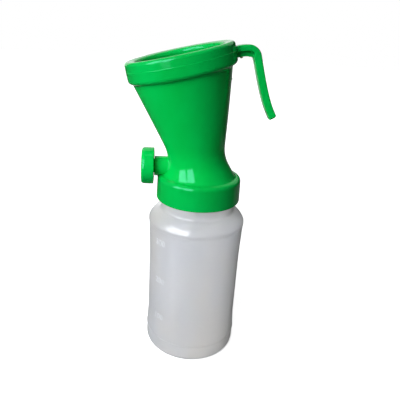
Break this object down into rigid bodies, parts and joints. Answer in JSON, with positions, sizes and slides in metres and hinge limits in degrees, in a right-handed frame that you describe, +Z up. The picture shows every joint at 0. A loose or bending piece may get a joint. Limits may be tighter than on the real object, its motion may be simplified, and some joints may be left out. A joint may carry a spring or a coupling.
{
  "type": "teat dip cup",
  "caption": "Foaming teat dip cup: a squeeze bottle screwed into a green moulded head with a slanted cup, a hanging hook and a side plug that holds the foaming sponge.",
  "frame": {"origin": "where the bottle's axis meets the surface that it stands on", "axes": "+Z up along the bottle's axis; the head's plane of symmetry is XZ, with the hook at +X and the side plug and the cup's low side at -X"},
  "size_m": [0.0995, 0.071, 0.223],
  "materials": {
    "green_plastic": "glossy",
    "milky_plastic": "translucent satin",
    "rubber": "matt",
    "white_plastic": "satin",
    "natural_plastic": "satin",
    "steel": "bright",
    "foam": "open-cell foam"
  },
  "bodies": {
    "bottle": {"bottle": "milky_plastic"},
    "seal": {"mouth_gasket": "rubber"},
    "head": {"cup_head": "green_plastic", "mixer_insert": "white_plastic", "ball_retainer": "white_plastic", "dip_tube": "natural_plastic", "outlet_grid": "white_plastic", "outlet_screen": "steel"},
    "check_valve": {"check_ball": "steel"},
    "plug_seal": {"plug_o_ring": "rubber"},
    "plug": {"foam_plug": "green_plastic", "foam_sponge": "foam"}
  },
  "joints": [
    {"name": "head_rise", "type": "slide", "parent": "bottle", "child": "seal", "axis": [0, 0, 1], "range_m": [0, 0.00801]},
    {"name": "head_turn", "type": "hinge", "parent": "seal", "child": "head", "pos_m": [0, 0, 0.1244], "axis": [0, 0, 1], "range_deg": [0, 720]},
    {"name": "ball_lift", "type": "slide", "parent": "head", "child": "check_valve", "axis": [0, 0, 1], "range_m": [0, 0.0016]},
    {"name": "plug_pull", "type": "slide", "parent": "head", "child": "plug_seal", "axis": [-1, 0, 0], "range_m": [0, 0.04]},
    {"name": "plug_turn", "type": "hinge", "parent": "plug_seal", "child": "plug", "pos_m": [0, 0, 0.1395], "axis": [-1, 0, 0], "continuous": true}
  ],
  "couplings": [
    {"joint": "head_rise", "follows": "head_turn", "m_per_rad": 0.00063662}
  ]
}
